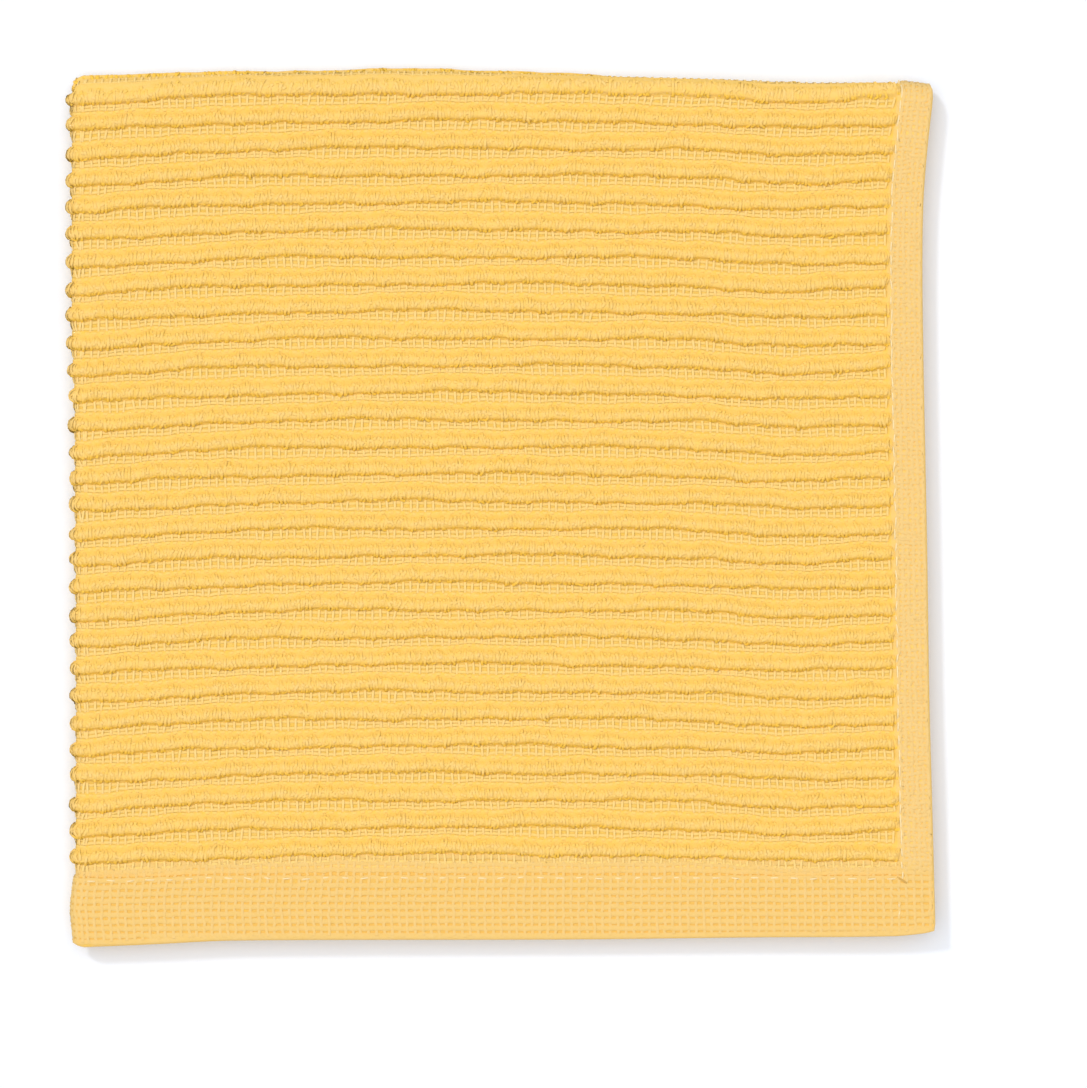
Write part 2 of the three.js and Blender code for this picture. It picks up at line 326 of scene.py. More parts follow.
def tubes(across, along, lift, radius, sides, depth=0.0):
    """Closed tubes around threads on the face of the cloth, given as rows of places.

    Returns points, triangles, depths and normals. The first side of a tube lies on top.
    """
    lines = lay(across, along, 1.0, lift)
    outward = lay(across, along, 1.0, lift + OUTWARD_STEP) - lines
    # Where the floor flattens a thread this is not a number, and the side from the step before holds
    with np.errstate(invalid="ignore"):
        outward /= np.linalg.norm(outward, axis=2, keepdims=True)
    count, steps, _ = lines.shape
    tangent = np.gradient(lines, axis=1)
    tangent /= np.linalg.norm(tangent, axis=2, keepdims=True) + TINY
    normal = outward[:, 0]
    radii = np.broadcast_to(np.asarray(radius, float), (count, steps))
    turns = (np.arange(sides) + 0.5) * 2 * math.pi / sides
    rings = np.empty((count, steps, sides, 3))
    normals = np.empty((count, steps, sides, 3))
    for k in range(steps):
        t = tangent[:, k]
        facing = (outward[:, k] * t).sum(1, keepdims=True)
        normal = np.where(np.abs(facing) < STEEP, outward[:, k], normal)
        normal = normal - (normal * t).sum(1, keepdims=True) * t
        normal /= np.linalg.norm(normal, axis=1, keepdims=True) + TINY
        binormal = np.cross(t, normal)
        for s, turn in enumerate(turns):
            offset = math.cos(turn) * normal + math.sin(turn) * binormal
            rings[:, k, s] = lines[:, k] + offset * radii[:, k, None]
            normals[:, k, s] = offset + SOFTNESS * normal
    rings[..., 2] = np.maximum(rings[..., 2], 0)
    index = np.arange(steps * sides).reshape(steps, sides)
    around = np.roll(index, -1, axis=1)
    wall = np.stack([
        np.stack([index[:-1], around[:-1], around[1:]], -1),
        np.stack([index[:-1], around[1:], index[1:]], -1)], 2).reshape(-1, 3)
    caps = [[index[0, 0], index[0, s + 1], index[0, s]] for s in range(1, sides - 1)]
    caps += [[index[-1, 0], index[-1, s], index[-1, s + 1]] for s in range(1, sides - 1)]
    one = np.vstack([wall, np.array(caps)])
    offsets = np.arange(count)[:, None, None] * (steps * sides)
    triangles = (one[None] + offsets).reshape(-1, 3)
    normals = normals.reshape(-1, 3)
    normals /= np.linalg.norm(normals, axis=1, keepdims=True) + TINY
    if np.ndim(depth):
        depth = depth[..., None]
    shade_depths = np.broadcast_to(depth, (count, steps, sides)).ravel()
    return rings.reshape(-1, 3), triangles, shade_depths, normals


def joined(parts):
    """Several sets of tubes as one."""
    start, shifted = 0, []
    for points, triangles, _, _ in parts:
        shifted.append(triangles + start)
        start += len(points)
    points, _, shade_depths, normals = zip(*parts)
    return np.vstack(points), np.vstack(shifted), np.concatenate(shade_depths), np.vstack(normals)


def yarn_object(name, threads, material):
    """A mesh object of tubes, as tubes() and joined() give them."""
    points, triangles, shade_depths, normals = threads
    return mesh_object(name, points, triangles, material, shade_depths, normals)


# Sheet


# The sheet under the pile, across one rib: share of the pitch above the rib's lower side, share of
# the core's height, and how deep in the cloth it lies, which sets its painted shade, darkest in the
# crevice
RIB_PROFILE = [
    (0.00, 0.30, 0.45),
    (0.02, 0.60, 0.42),
    (0.06, 0.85, 0.35),
    (0.13, 0.97, 0.28),
    (0.22, 1.00, 0.28),
    (0.31, 0.86, 0.30),
    (0.39, 0.60, 0.38),
    (0.47, 0.32, 0.38),
    (0.54, 0.14, 0.34),
    (0.61, 0.06, 0.42),
    (0.93, 0.06, 0.40),
    (1.00, 0.30, 0.45),
]
CORE_HEIGHT = 1.2
# Around the top fold, the least height of the core and the greatest depth of the sheet
FOLD_CORE = 0.25
FOLD_DEPTH = 0.3
# Depths of the sheet under the weave of the hems, and beside the ribs. Under the front hem's threads
# the sheet takes a dark colour, painted shade that shows in the gaps between them
HEM_DEPTH = 0.85
SIDE_HEM_DEPTH = 0.25
SEAM_DEPTH = 0.2
# Distances from the hems at which the ribs' depths begin, and up to which the front hem's reaches
RIB_DEPTHS_NEAR = 3.2
RIB_DEPTHS_FAR = 2.0
HEM_DEPTH_ABOVE = 2.0
# Rims along the free side and the front edge that keep the depth of the seams
SIDE_RIM = 0.9
FRONT_RIM = 0.4

# Rows and columns of the sheet, with finer steps over the stitch groove beside a hem
GROOVE_STEPS = (0.3, 0.6, 1.0)
HEM_ROWS = 12
# Rows of the ribs keep this far from the hems
HEM_CLEARANCE = 1.2
# The ribs past this one lie underneath, beyond the top fold, and have half as many rows
LAST_FINE_RIB = -4
COARSE_STEP = 7.0
COARSE_BEND_ROWS = 15
HEM_COLUMNS = 6
RIB_COLUMNS = 61
BEND_COLUMNS = 13
INNER_COLUMNS = 12
RIM_RADIUS = 0.5
RIM_ANGLES = (30, 60, 90, 120, 150)


def rib_relief(across, along):
    """The sheet's own swelling under the pile."""
    rib, share = rib_place(along)
    shares, heights, _ = np.array(RIB_PROFILE).T
    relief = np.interp(share, shares, heights)
    relief = np.where(rib < 1, np.maximum(relief, FOLD_CORE), relief)
    inside = (across < PILE_END) & (along > NEAR_HEM + STITCH_GROOVE + RIB_END_GAP) & (rib < RIBS_ON_TOP)
    inside &= along < FAR_HEM - STITCH_GROOVE - RIB_END_GAP
    return CORE_HEIGHT * relief * inside * pile_room(across, along)


def sheet_depth(across, along):
    """How deep in the cloth the sheet lies, for its painted shade: among the ribs deepest in the crevice
    under each rib, and deeper still under the front hem's weave.
    """
    shares, _, shade_depths = np.array(RIB_PROFILE).T
    rib, share = rib_place(along)
    depth = np.interp(share, shares, shade_depths)
    depth = np.where(rib < 1, np.minimum(depth, FOLD_DEPTH), depth)
    between_hems = (along > NEAR_HEM + RIB_DEPTHS_NEAR) & (along < FAR_HEM - RIB_DEPTHS_FAR)
    depth = np.where(between_hems & (across < PILE_END), depth, SEAM_DEPTH)
    inside = across < LEAF_WIDTH - SIDE_RIM
    front = inside & (along < NEAR_HEM + HEM_DEPTH_ABOVE) & (along > FRONT_EDGE + FRONT_RIM)
    side = inside & (across > LEAF_WIDTH - SIDE_HEM_WIDTH) & (along < SIDE_WEAVE_END) & (along > NEAR_HEM)
    return np.where(front, HEM_DEPTH, np.where(side, SIDE_HEM_DEPTH, depth))


def sheet_rows():
    """Rows of the visible side: close together over the ribs, on the shares of the rib profile."""
    rows = []
    for rib in range(-RIBS_BELOW, RIBS_ON_TOP + 1):
        line = FIRST_RIB_LINE - rib * RIB_PITCH
        step = 1 if rib >= LAST_FINE_RIB else 2
        rows += [line + share * RIB_PITCH for share, _, _ in RIB_PROFILE[:-1:step]]
    rows = [row for row in rows if NEAR_HEM + HEM_CLEARANCE < row < FAR_HEM - HEM_CLEARANCE]
    near = np.linspace(FRONT_EDGE + RIM_RADIUS, NEAR_HEM, HEM_ROWS)
    groove = NEAR_HEM + np.array(GROOVE_STEPS)
    far = np.linspace(FAR_HEM, LAST_ROW - RIM_RADIUS, HEM_ROWS)
    far_groove = FAR_HEM - (groove[::-1] - NEAR_HEM)
    return np.concatenate([near, groove, sorted(rows), far_groove, far])


def coarse_rows():
    """Rows of the hidden side, closer together around the top fold."""
    bend = FOLD_START + np.linspace(-0.2, 1.2, COARSE_BEND_ROWS) * FOLD_LENGTH
    ground = np.arange(NEAR_HEM + 8, bend[0] - 2, COARSE_STEP)
    below = np.arange(bend[-1] + 4, FAR_HEM - 4, COARSE_STEP)
    near_edge = [FRONT_EDGE + RIM_RADIUS, FRONT_EDGE + 4]
    near = [*near_edge, NEAR_HEM, NEAR_HEM + STITCH_GROOVE / 2, NEAR_HEM + STITCH_GROOVE]
    far_edge = [LAST_ROW - 4, LAST_ROW - RIM_RADIUS]
    far = [FAR_HEM - STITCH_GROOVE, FAR_HEM - STITCH_GROOVE / 2, FAR_HEM, *far_edge]
    return np.concatenate([near, ground, bend, below, far])


def zip_lines(a, b, at_a, at_b):
    """Triangles between two lines of corners that run side by side, by their places at_a and at_b."""
    triangles = []
    i = j = 0
    while i < len(a) - 1 or j < len(b) - 1:
        if j == len(b) - 1 or (i < len(a) - 1 and at_a[i + 1] <= at_b[j + 1]):
            triangles.append((a[i], a[i + 1], b[j]))
            i += 1
        else:
            triangles.append((a[i], b[j + 1], b[j]))
            j += 1
    return triangles


def sheet_columns():
    """Columns of the outer leaf, the left fold and the inner leaf, from one free side to the other."""
    groove = LEAF_WIDTH - SIDE_HEM_WIDTH - np.array([0.0, *GROOVE_STEPS])
    side = [LEAF_WIDTH - RIM_RADIUS]
    hem = np.linspace(LEAF_WIDTH - 1.2, groove[0] + 0.8, HEM_COLUMNS)
    rib_ends = PILE_END - np.array([0, 0.3, 0.6])
    ribs = np.linspace(PILE_END - 1.0, 1.0, RIB_COLUMNS)
    outer = np.concatenate([side, hem, groove[:2], rib_ends, ribs, [0.0]])
    bend = -np.linspace(0, BEND_LENGTH, BEND_COLUMNS)[1:]
    hidden = np.linspace(0, groove[-1], INNER_COLUMNS)[1:]
    inner = -BEND_LENGTH - np.concatenate([hidden, groove[::-1][1:], side])
    return outer, bend, inner


class Corners:
    """The corners of a mesh, as they are added, and how deep in the cloth each one lies."""

    def __init__(self):
        self.points = []
        self.shade_depths = []
        self.count = 0

    def add(self, points, depth=SEAM_DEPTH):
        """Adds corners and returns their numbers, arranged as the points are."""
        shape = points.shape[:-1]
        self.points.append(points.reshape(-1, 3))
        self.shade_depths.append(np.broadcast_to(depth, shape).ravel())
        numbers = self.count + np.arange(math.prod(shape)).reshape(shape)
        self.count += math.prod(shape)
        return numbers


def quads(grid):
    """Two triangles for each cell of a grid of corners."""
    a, b, c, d = grid[:-1, :-1], grid[:-1, 1:], grid[1:, 1:], grid[1:, :-1]
    halves = np.stack([a, b, c], -1), np.stack([a, c, d], -1)
    return np.concatenate([half.reshape(-1, 3) for half in halves])


def border(outer_side, near_side, inner_side, far_side, rows, inner_rows, columns):
    """The corners along a sheet's free edges as one loop, and their places in it, from 0 to 4.

    The loop runs down the outer leaf, along the near hem, up the inner leaf and back.
    """
    def along_place(at):
        return (at - FRONT_EDGE) / (LAST_ROW - FRONT_EDGE)

    def across_place(at):
        return (LEAF_WIDTH - at) / (2 * LEAF_WIDTH + BEND_LENGTH)

    loop = np.concatenate([outer_side[::-1], near_side[1:], inner_side[1:], far_side[-2::-1]])
    places = np.concatenate([
        1 - along_place(rows[::-1]),
        1 + across_place(columns[1:]),
        2 + along_place(inner_rows[1:]),
        4 - across_place(columns[-2::-1])])
    return loop, places


def rim_ring(angle, rows, inner_rows, columns):
    """Points around the free edges, at an angle of the rounded rim from the face to the back."""
    out = RIM_RADIUS * (1 - math.sin(angle))
    side = math.cos(angle)
    rows = np.clip(rows, FRONT_EDGE + out, LAST_ROW - out)
    inner_rows = inner_rows.copy()
    columns = columns.copy()
    for edge in (rows, inner_rows):
        edge[[0, -1]] = FRONT_EDGE + out, LAST_ROW - out
    columns[[0, -1]] = LEAF_WIDTH - out, -BEND_LENGTH - LEAF_WIDTH + out
    return np.concatenate([
        lay(columns[0], rows[::-1], side),
        lay(columns[1:], rows[0], side),
        lay(columns[-1], inner_rows[1:], side),
        lay(columns[-2::-1], rows[-1], side)])


def build_sheet(material):
    """The woven cloth itself: one closed sheet, fine where it shows and coarse inside the folds."""
    outer, bend, inner = sheet_columns()
    fine, coarse = sheet_rows(), coarse_rows()
    shown = np.concatenate([outer, bend])
    columns = np.concatenate([shown, inner])
    back_columns = np.concatenate([outer[::4], [0.0], bend[1::2], inner])

    corners = Corners()
    across, along = np.meshgrid(shown, fine, indexing="ij")
    face = corners.add(lay(across, along, 1.0, rib_relief(across, along)), sheet_depth(across, along))
    across, along = np.meshgrid(inner, coarse, indexing="ij")
    inner_face = corners.add(lay(across, along, 1.0))
    across, along = np.meshgrid(back_columns, coarse, indexing="ij")
    back = corners.add(lay(across, along, -1.0))
    triangles = [quads(face), quads(inner_face), quads(back)[:, ::-1]]
    triangles.append(np.array(zip_lines(face[-1], inner_face[0], fine, coarse)))

    near_side = np.concatenate([face[:, 0], inner_face[:, 0]])
    far_side = np.concatenate([face[:, -1], inner_face[:, -1]])
    face_loop, places = border(face[0], near_side, inner_face[-1], far_side, fine, coarse, columns)
    rings = [(face_loop, places)]
    for angle in np.radians(RIM_ANGLES):
        rings.append((corners.add(rim_ring(angle, fine, coarse, columns)), places))
    rings.append(border(back[0], back[:, 0], back[-1], back[:, -1], coarse, coarse, back_columns))
    for (a, at_a), (b, at_b) in zip(rings[:-1], rings[1:]):
        triangles.append(np.array(zip_lines(a, b, at_a, at_b)))
    return mesh_object("cloth_sheet", np.vstack(corners.points), np.vstack(triangles), material,
                       np.concatenate(corners.shade_depths))


# Pile


# The middle line of a strand of pile over a rib, from its foot over the crest to the overhang:
# place above the rib's lower side, and height above the sheet
STRAND_PLACE = np.array([2.30, 1.75, 1.15, 0.60, 0.18, 0.02])
STRAND_LIFT = np.array([0.25, 0.88, 1.14, 1.04, 0.64, 0.22])
# Heights of the strand where the left fold spreads the pile into round knobs, which begin over a
# short way around the fold
KNOB_LIFT = np.array([0.40, 1.12, 1.30, 1.24, 0.90, 0.32])
KNOB_FADE = 0.8
# Share of its height that the pile keeps around the top fold, where it is brushed flat
FOLD_PILE = 0.92
STRAND_SPACING = 0.46
UNDER_SPACING = 2.4
STRAND_RADIUS = 0.28
# Share of the left fold that the pile goes around
PILE_BEND_SHARE = 0.85
# How unevenly strands are spaced, as a share of the spacing
SPACING_SPREAD = 0.15
# How far the strands lean and wave, and how many turns their waves have
STRAND_LEAN = 0.30
STRAND_WAVE = 0.20
WAVE_TURNS = (0.5, 1.3)
# Waves of the ribs' lower side, height and radians a millimetre, and its unevenness
SCALLOPS = [(0.15, 3.4), (0.17, 1.15)]
SCALLOP_SPREAD = 0.08
# How unevenly wide and high the strands are, and how rough each one is
WIDTH_SPREAD = 0.06
HEIGHT_SPREAD = 0.05
ROUGHNESS = 0.02
# How far the strands are shifted down the cloth, and may reach past the end of the ribs
STRAND_SHIFT = -0.05
END_REACH = 0.05

CURL_SPACING = 0.72
CURL_ANGLES = np.radians(np.linspace(0, 180, 5))
# Places above a rib's lower side between which curls stand, and how far they are turned, in radians
CURL_PLACES = (0.2, 2.1)
CURL_TURN = 1.5
# Half a curl's length and how uneven it is, how deep its feet sink, and how high it stands
CURL_REACH = 0.34
REACH_SPREAD = 0.15
CURL_SINK = -0.08
CURL_HEIGHT = 0.20

# Depth of the pile's yarn, which sets its painted shade, darker low in the pile: at the sheet, lost with
# each millimetre of height, and its limits
FOOT_DEPTH = 1.15
DEPTH_LOSS = 0.8
CREST_DEPTH = 0.2
CREVICE_DEPTH = 0.64
# Shares of the pitch between which the upper side of a rib begins, and where it ends
UPPER_SIDE = (0.2, 0.35)
UPPER_SIDE_END = 0.8
# How much less deep that side may be, as it lies open to the light
UPPER_SIDE_OPENNESS = 0.26

# The ribs of each mesh of pile, counted from the back
PILE_GROUPS = {
    "pile_back": range(-3, 8),
    "pile_middle": range(8, 18),
    "pile_front": range(18, RIBS_ON_TOP),
}


def places_across(spacing, random):
    """Places from the side hem around the left fold, closer together where the fold spreads them."""
    flat = np.arange(PILE_END, 0.0, -spacing)
    bend = -np.arange(0.0, PILE_BEND_SHARE * BEND_LENGTH, BEND_SQUEEZE * spacing)
    places = np.concatenate([flat, bend])
    return places + random.normal(0, SPACING_SPREAD, len(places)) * squeeze_at(places) * spacing


def strands_of_rib(line, spacing, random):
    """Strands of pile lying side by side over one rib."""
    across = places_across(spacing, random)
    count = len(across)
    flow = np.linspace(0, 1, len(STRAND_PLACE))
    lean = random.normal(0, STRAND_LEAN, (count, 1)) * flow
    wave_height = random.normal(0, STRAND_WAVE, (count, 1))
    turns = flow * random.uniform(*WAVE_TURNS, (count, 1)) + random.random((count, 1))
    wave = wave_height * np.sin(2 * math.pi * turns)
    phases = 2 * math.pi * random.random(len(SCALLOPS))
    scallop = sum(height * np.sin(across * rate + phase)
                  for (height, rate), phase in zip(SCALLOPS, phases))
    scallop += random.normal(0, SCALLOP_SPREAD, count)
    place = STRAND_PLACE * random.normal(1, WIDTH_SPREAD, (count, 1)) + STRAND_SHIFT
    place += scallop[:, None] * flow
    lift = STRAND_LIFT + (KNOB_LIFT - STRAND_LIFT) * smooth(-across[:, None], 0, KNOB_FADE)
    lift = lift * random.normal(1, HEIGHT_SPREAD, (count, 1))
    lift += random.normal(0, ROUGHNESS, (count, len(flow)))
    if line > FIRST_RIB_LINE:
        lift *= FOLD_PILE
    at_across = across[:, None] + (lean + wave) * squeeze_at(across)[:, None]
    at_across = np.minimum(at_across, PILE_END + END_REACH)
    return at_across, line + place, lift


def curls_of_rib(line, spacing, random):
    """Small loops that stand out of the pile of one rib, turned any way."""
    across = places_across(spacing, random)
    count = len(across)
    place = random.uniform(*CURL_PLACES, count)
    top = np.interp(place, STRAND_PLACE[::-1], STRAND_LIFT[::-1])
    yaw = random.uniform(-CURL_TURN, CURL_TURN, (count, 1))
    run = CURL_REACH * random.normal(1, REACH_SPREAD, (count, 1)) * np.cos(CURL_ANGLES)
    lift = top[:, None] + CURL_SINK + CURL_HEIGHT * np.sin(CURL_ANGLES)
    at_across = across[:, None] + run * np.sin(yaw) * squeeze_at(across)[:, None]
    at_along = line + place[:, None] + run * np.cos(yaw)
    return at_across, at_along, lift


def yarns(batches):
    """Tubes of pile around batches of (across, along, lift)."""
    across, along, lift = (np.concatenate(part) for part in zip(*batches))
    # Painted shade: yarn low in the pile and by the crevice gets a darker colour, and the rib's upper
    # side, open to the light, a lighter one
    _, share = rib_place(along)
    upper = smooth(share, *UPPER_SIDE) * (share < UPPER_SIDE_END)
    deepest = CREVICE_DEPTH - UPPER_SIDE_OPENNESS * upper
    depth = np.clip(FOOT_DEPTH - DEPTH_LOSS * lift, CREST_DEPTH, deepest)
    return tubes(across, along, lift * pile_room(across, along), STRAND_RADIUS, 3, depth)


def build_pile(material, random):
    """The pile of the ribs, as a few joined meshes of yarn."""
    pieces = []
    for name, ribs in PILE_GROUPS.items():
        lines = [FIRST_RIB_LINE - rib * RIB_PITCH for rib in ribs]
        strands = yarns([strands_of_rib(line, STRAND_SPACING, random) for line in lines])
        on_top = [line for line in lines if line <= FIRST_RIB_LINE]
        curls = yarns([curls_of_rib(line, CURL_SPACING, random) for line in on_top])
        pieces.append(yarn_object(name, joined([strands, curls]), material))
    ribs_below = range(-RIBS_BELOW + 1, PILE_GROUPS["pile_back"].start)
    below = [FIRST_RIB_LINE - rib * RIB_PITCH for rib in ribs_below]
    under = yarns([strands_of_rib(line, UNDER_SPACING, random) for line in below])
    pieces.append(yarn_object("pile_under", under, material))
    return pieces


# Weave


# Share of the left fold that the threads along the cloth go around, and their pitch there
WEAVE_BEND_SHARE = 0.7
WEAVE_BEND_PITCH = 0.34 * WARP_PITCH
# Places of the weft threads above a rib's lower side, and their height
WEFTS = [(3.70, 0.04), (4.48, 0.02)]
# The posts over them, from top to bottom
POST_PLACES = np.array([4.85, 4.5, 3.85, 3.35])
POST_LIFT = np.array([0.12, 0.30, 0.24, 0.0])
# The feet of the pile below, between the posts
FOOT_ACROSS = np.array([-0.45, -0.25, 0.25, 0.45]) - WARP_PITCH / 2
FOOT_PLACES = 2.95 + np.array([-0.06, 0.02, 0.02, -0.06])
FOOT_LIFT = np.array([-0.12, 0.10, 0.10, -0.12])
# Radius and depth of each kind of thread
GROUND_THREADS = {"weft": (0.30, 0.15), "post": (0.24, 0.05), "foot": (0.32, 0.25)}
# How unevenly the threads lie: wefts in height, threads along the cloth, cells across it, and feet
WEFT_HEIGHT_SPREAD = 0.03
THREAD_SPREAD = 0.04
CELL_SPREAD = 0.08
POST_LEAN = 0.05
FOOT_SPREAD = 0.05


def threads_across(first):
    """Places of the threads that run along the cloth, from the free side around the left fold."""
    flat = np.arange(first, 0.0, -WARP_PITCH)
    bend = -np.arange(0.0, WEAVE_BEND_SHARE * BEND_LENGTH, WEAVE_BEND_PITCH)
    return np.concatenate([flat, bend])


def ground_tubes(kind, batches):
    """Tubes for one kind of thread of the ground, from batches of rows of places."""
    radius, depth = GROUND_THREADS[kind]
    across, along, lift = (np.concatenate(part) for part in zip(*batches))
    return tubes(across, along, lift, radius, 3, depth)


def build_weave(material, random):
    """The threads on the ground between the ribs: wefts, the posts over them and the feet below."""
    cells = threads_across(RIB_END + 0.2)
    count = len(cells)
    squeeze = squeeze_at(cells)[:, None]
    wefts, posts, feet = [], [], []
    for rib in range(-2, RIBS_ON_TOP + 1):
        line = FIRST_RIB_LINE - rib * RIB_PITCH
        for place, height in WEFTS:
            lift = height + random.normal(0, WEFT_HEIGHT_SPREAD, count)
            along = line + place + random.normal(0, THREAD_SPREAD, count)
            wefts.append((cells[None], along[None], lift[None]))
        middle = cells[:, None] + random.normal(0, CELL_SPREAD, (count, 1)) * squeeze
        lean = random.normal(0, POST_LEAN, (count, 1)) * np.arange(len(POST_PLACES))
        places = POST_PLACES + random.normal(0, THREAD_SPREAD, (count, len(POST_PLACES)))
        posts.append((middle + lean, line + places, POST_LIFT + 0 * lean))
        places = FOOT_PLACES + random.normal(0, FOOT_SPREAD, (count, 1))
        if rib < RIBS_ON_TOP:
            feet.append((middle + FOOT_ACROSS * squeeze, line + places, FOOT_LIFT + 0 * places))
    ground = joined([ground_tubes("weft", wefts), ground_tubes("post", posts)])
    return [yarn_object("weave_ground", ground, material),
            yarn_object("weave_feet", ground_tubes("foot", feet), material)]


# Threads of the hems: radius, height of their middle line, how far they go over and under it, how
# unevenly, how far they stray to the side, and how deep in the cloth they count
HemThread = namedtuple("HemThread", "radius height weaving unevenness stray depth")
HEM_THREADS = {
    "broad": HemThread(0.66, -0.28, 0.04, 0.03, 0.07, 0.30),
    "narrow": HemThread(0.38, -0.06, 0.08, 0.03, 0.08, 0.20),
    "side_along": HemThread(0.45, -0.12, 0.08, 0.05, 0.12, 0.15),
    "side_across": HemThread(0.45, -0.14, 0.08, 0.05, 0.10, 0.15),
}
# Broad threads between the front hem and the ribs, above the hem's edge, and how many lie on it
THREADS_ABOVE_HEM = [3.9, 2.7, 1.45]
THREADS_ON_HEM = 10
# The narrow threads run from near the front edge to a little above the hem
NARROW_START = FRONT_EDGE + 0.85
NARROW_END = NEAR_HEM + 3.8
# The broad threads keep this far from the front edge, and take close steps around the left fold
FRONT_CLEARANCE = 0.7
FOLD_STEP = 0.25
# The side hem's threads
SIDE_WARP_PITCH = 1.02
SIDE_WEFT_PITCH = 0.9
SIDE_WARPS = 6
SIDE_CLEARANCE = 0.6
SIDE_WEAVE_START = NEAR_HEM + 2.2
# How the front hem's edge rises away from the left fold: from, by, and over what way
HEM_RISE_START = -0.1
HEM_RISE = 0.55
HEM_RISE_WAY = 28
# A dark thread that paints the shadow of the small pucker where the hems meet: places across the cloth,
# and above the edge of the front hem
CREASE_SHADE = [(152.2, 0.7), (153.0, 0.45), (153.7, 0.0), (154.4, -0.5)]
CREASE_SHADE_HEIGHT = 0.15
CREASE_SHADE_RADIUS = 0.26


def hem_rise(across):
    """How far the front hem's threads and stitches rise away from the left fold."""
    return HEM_RISE_START + HEM_RISE * smooth(across, 0, HEM_RISE_WAY)


def stray(kind, lines, steps, random):
    """How far each thread of a hem strays to the side at each of its steps."""
    return random.normal(0, HEM_THREADS[kind].stray, (len(lines), len(steps)))


def hem_tubes(kind, across, along, random, level=1.0):
    """Tubes for threads that go over and under, the next one in step with the one before it.

    level is 0 where they run straight instead.
    """
    thread = HEM_THREADS[kind]
    across, along = np.broadcast_arrays(across, along)
    line, step = np.indices(across.shape)
    turns = (line + step) % 2 * 2 - 1
    weaving = thread.weaving * turns + random.normal(0, thread.unevenness, across.shape)
    lift = thread.height + weaving * level
    return tubes(across, along, lift, thread.radius, 4, thread.depth)


def broad_threads(columns, random):
    """Broad threads along the front hem, that go straight around the left fold."""
    flat = columns[columns > 0]
    steps = np.sort(np.concatenate([flat, flat - WARP_PITCH / 2, [LEAF_WIDTH - 0.4]]))[::-1]
    bend = np.arange(steps[-1] - 0.3, -0.8 * BEND_LENGTH, -FOLD_STEP)
    steps = np.concatenate([steps, bend])
    rows = np.concatenate([THREADS_ABOVE_HEM, -np.arange(THREADS_ON_HEM) * HEM_ROW_PITCH])[:, None]
    level = np.where(steps > 0, 1.0, 0.0)
    front = curve(FRONT_OUTLINE, FOLD_LINE + np.maximum(steps, 0))
    hem_here = END_HEM_WIDTH + FRONT_EDGE - front
    along = rows * np.where(rows < 0, END_HEM_WIDTH / hem_here, 1)
    along += hem_rise(steps) * (1 + np.minimum(rows, 0) / END_HEM_WIDTH)
    along = NEAR_HEM + along + stray("broad", rows, steps, random) * level
    along = np.maximum(along, FRONT_EDGE + FRONT_CLEARANCE)
    return hem_tubes("broad", steps, along, random, level)


def narrow_threads(columns, random):
    """Narrow threads across the front hem."""
    steps = np.arange(NARROW_START, NARROW_END, WEFT_PITCH / 2)
    across = columns[:, None] + stray("narrow", columns, steps, random)
    return hem_tubes("narrow", across, steps, random)


def side_threads_along(random):
    """Threads along the side hem."""
    columns = LEAF_WIDTH - SIDE_CLEARANCE - np.arange(SIDE_WARPS) * SIDE_WARP_PITCH
    steps = np.arange(SIDE_WEAVE_START, SIDE_WEAVE_END, SIDE_WEFT_PITCH / 2)
    across = columns[:, None] + stray("side_along", columns, steps, random)
    across = np.minimum(across, LEAF_WIDTH - SIDE_CLEARANCE)
    return hem_tubes("side_along", across, steps, random)


def side_threads_across(random):
    """Threads across the side hem."""
    rows = np.arange(SIDE_WEAVE_START + SIDE_WEFT_PITCH, SIDE_WEAVE_END, SIDE_WEFT_PITCH)
    steps = LEAF_WIDTH - np.arange(0.5, SIDE_HEM_WIDTH, SIDE_WARP_PITCH / 2)
    along = rows[:, None] + stray("side_across", rows, steps, random)
    return hem_tubes("side_across", steps, along, random)


def build_hem_weave(material, random):
    """The threads on the front hem and the side hem of the visible leaf, and between them a dark thread
    that paints the shadow of a small pucker.
    """
    columns = threads_across(LEAF_WIDTH - SIDE_RIM)
    crease_shade = np.array(CREASE_SHADE)[None]
    parts = [
        broad_threads(columns, random),
        narrow_threads(columns, random),
        side_threads_along(random),
        side_threads_across(random),
        # Painted shadow: a dark thread at full depth in the pucker where the hems meet
        tubes(crease_shade[..., 0], NEAR_HEM + crease_shade[..., 1], CREASE_SHADE_HEIGHT, CREASE_SHADE_RADIUS, 4, 1.0),
    ]
    return yarn_object("weave_hems", joined(parts), material)


# Stitches


STITCH_PITCH = 3.66
STITCH_LENGTH = 1.7
STITCH_RADIUS = 0.15
FIRST_STITCH = 1.5
SIDE_STITCH_PITCH = 2.6
SIDE_STITCH_LENGTH = 0.8 * SIDE_STITCH_PITCH
SIDE_STITCH_START = NEAR_HEM + 1.2
# Places of two short stitches that carry the side row on over the front hem, a little aside
CORNER_STITCHES = (-77.0, -75.4)
CORNER_STITCH_LENGTH = 1.2
CORNER_STITCH_RADIUS = 0.13
CORNER_STITCH_SHIFT = -0.75
# Height of a stitch above the cloth along its length, and how uneven its length and place are
STITCH_BOW = np.array([-0.15, 0.24, 0.32, 0.32, 0.24, -0.15])
STITCH_LENGTH_SPREAD = 0.15
STITCH_STRAY = 0.08


def stitch_row(starts, length, radius, place, random):
    """A row of stitches. place turns (run along the row, offset sideways) into (across, along)."""
    flow = np.linspace(-0.5, 0.5, len(STITCH_BOW))
    count = len(starts)
    lengths = length * random.normal(1, STITCH_LENGTH_SPREAD, (count, 1))
    shift = random.normal(0, STITCH_STRAY, (count, 1))
    slant = random.normal(0, STITCH_STRAY, (count, 1))
    across, along = place(starts[:, None] + flow * lengths, shift + slant * 2 * flow)
    return tubes(across, along, STITCH_BOW + 0 * across, radius, 5)


